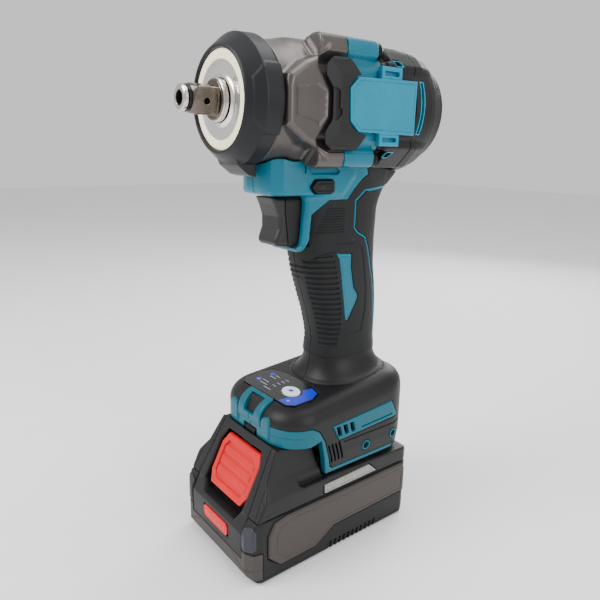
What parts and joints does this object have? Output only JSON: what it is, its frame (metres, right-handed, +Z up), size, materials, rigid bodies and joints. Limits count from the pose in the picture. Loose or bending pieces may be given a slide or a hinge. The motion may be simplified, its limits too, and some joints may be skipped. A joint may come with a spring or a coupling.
{
  "type": "impact wrench",
  "caption": "Cordless pistol-grip impact wrench with a square drive, ring lamp, planetary gearing, trigger, direction slide and a slide-on battery pack with a release latch.",
  "frame": {"origin": "on the ground under the middle of the tool's outline, standing on its battery", "axes": "+Z up, the drive points along -Y, the left of the tool is +X"},
  "size_m": [0.075, 0.152, 0.2839],
  "materials": {
    "teal_shell": "bright teal nylon, satin with fine spark texture",
    "black_shell": "black nylon, matt",
    "rubber": "black overmoulded rubber, matt",
    "dark_plastic": "dark grey nylon, satin",
    "gunmetal": "painted die-cast aluminium, gunmetal",
    "dark_steel": "hardened steel, phosphated and oiled",
    "steel": "bright ground steel",
    "laminations": "varnished steel laminations",
    "bronze": "sintered bronze",
    "seal": "black elastic ring",
    "warm_grey": "warm grey overmould, fine texture",
    "red": "red nylon, satin",
    "board": "potted circuit board",
    "cell": "wrapped cells in a plastic frame",
    "lens": "cream diffusing lens",
    "window": "silvery translucent strip",
    "white": "white keypad"
  },
  "bodies": {
    "housing": {"gear_case": "gunmetal", "nose_boot": "rubber", "lamp_lens_ring": "lens", "nose_plate": "steel", "anvil_bush": "bronze", "ring_gear": "dark_steel", "motor_bracket": "gunmetal", "front_bearing": "steel", "rear_bearing": "steel", "stator": "laminations", "hall_board": "board", "housing_left": "teal_shell", "housing_right": "teal_shell", "grip_left": "rubber", "grip_right": "rubber", "armor_left": "dark_plastic", "armor_right": "dark_plastic", "side_cover_left": "teal_shell", "side_cover_right": "teal_shell", "rear_cover": "black_shell", "case_screw_1": "dark_steel", "case_screw_2": "dark_steel", "case_screw_3": "dark_steel", "case_screw_4": "dark_steel", "foot_screw_1": "dark_steel", "foot_screw_2": "dark_steel", "switch_body": "black_shell", "controller_board": "board", "terminal_block": "black_shell", "display_panel": "black_shell"},
    "anvil": {"anvil": "dark_steel", "friction_ring": "seal"},
    "spindle": {"spindle": "dark_steel", "planet_pin_1": "steel", "planet_pin_2": "steel", "planet_pin_3": "steel", "cam_ball_1": "steel", "cam_ball_2": "steel", "hammer_spring": "steel"},
    "hammer": {"hammer": "dark_steel"},
    "planet_1": {"planet_gear_1": "steel"},
    "planet_2": {"planet_gear_2": "steel"},
    "planet_3": {"planet_gear_3": "steel"},
    "rotor": {"rotor_shaft": "steel", "rotor_core": "laminations", "fan": "black_shell"},
    "trigger": {"trigger": "dark_plastic"},
    "direction_selector": {"direction_selector": "dark_plastic"},
    "mode_button": {"mode_button": "white"},
    "battery": {"battery_lower_case": "black_shell", "battery_upper_case": "black_shell", "cell_pack": "cell", "battery_board": "board", "battery_badge": "red", "battery_side_panel_left": "warm_grey", "battery_side_panel_right": "warm_grey", "battery_window_left": "window", "battery_window_right": "window", "latch_spring": "steel"},
    "latch": {"latch_button": "red"}
  },
  "joints": [
    {"name": "spindle_spin", "type": "hinge", "parent": "housing", "child": "spindle", "pos_m": [0, 0, 0.249], "axis": [0, -1, 0], "continuous": true},
    {"name": "rotor_spin", "type": "hinge", "parent": "housing", "child": "rotor", "pos_m": [0, 0, 0.249], "axis": [0, -1, 0], "continuous": true},
    {"name": "anvil_spin", "type": "hinge", "parent": "housing", "child": "anvil", "pos_m": [0, 0, 0.249], "axis": [0, -1, 0], "continuous": true},
    {"name": "planet_1_spin", "type": "hinge", "parent": "spindle", "child": "planet_1", "pos_m": [0, 0.005, 0.2595], "axis": [0, -1, 0], "continuous": true},
    {"name": "planet_2_spin", "type": "hinge", "parent": "spindle", "child": "planet_2", "pos_m": [-0.00909, 0.005, 0.24375], "axis": [0, -1, 0], "continuous": true},
    {"name": "planet_3_spin", "type": "hinge", "parent": "spindle", "child": "planet_3", "pos_m": [0.00909, 0.005, 0.24375], "axis": [0, -1, 0], "continuous": true},
    {"name": "hammer_slide", "type": "slide", "parent": "spindle", "child": "hammer", "axis": [0, 1, 0], "range_m": [0, 0.006], "stiffness_N_per_m": 4000, "springref_m": -0.003, "deforming": ["hammer_spring"]},
    {"name": "trigger_pull", "type": "slide", "parent": "housing", "child": "trigger", "axis": [0, 1, 0], "range_m": [0, 0.007], "stiffness_N_per_m": 700, "springref_m": -0.004},
    {"name": "direction_slide", "type": "slide", "parent": "housing", "child": "direction_selector", "axis": [1, 0, 0], "range_m": [-0.0025, 0.0025]},
    {"name": "mode_press", "type": "slide", "parent": "housing", "child": "mode_button", "axis": [0, 0.0896, -0.996], "range_m": [0, 0.0006], "stiffness_N_per_m": 2500, "springref_m": -0.0003},
    {"name": "battery_slide", "type": "slide", "parent": "housing", "child": "battery", "axis": [0, -1, 0], "range_m": [0, 0.11]},
    {"name": "latch_slide", "type": "slide", "parent": "battery", "child": "latch", "axis": [0, 0, -1], "range_m": [0, 0.0045], "stiffness_N_per_m": 1500, "springref_m": -0.002, "deforming": ["latch_spring"]}
  ],
  "couplings": [
    {"joint": "rotor_spin", "follows": "spindle_spin", "ratio": 4.6667},
    {"joint": "anvil_spin", "follows": "spindle_spin", "ratio": 1},
    {"joint": "planet_1_spin", "follows": "spindle_spin", "ratio": -2.75},
    {"joint": "planet_2_spin", "follows": "spindle_spin", "ratio": -2.75},
    {"joint": "planet_3_spin", "follows": "spindle_spin", "ratio": -2.75}
  ]
}
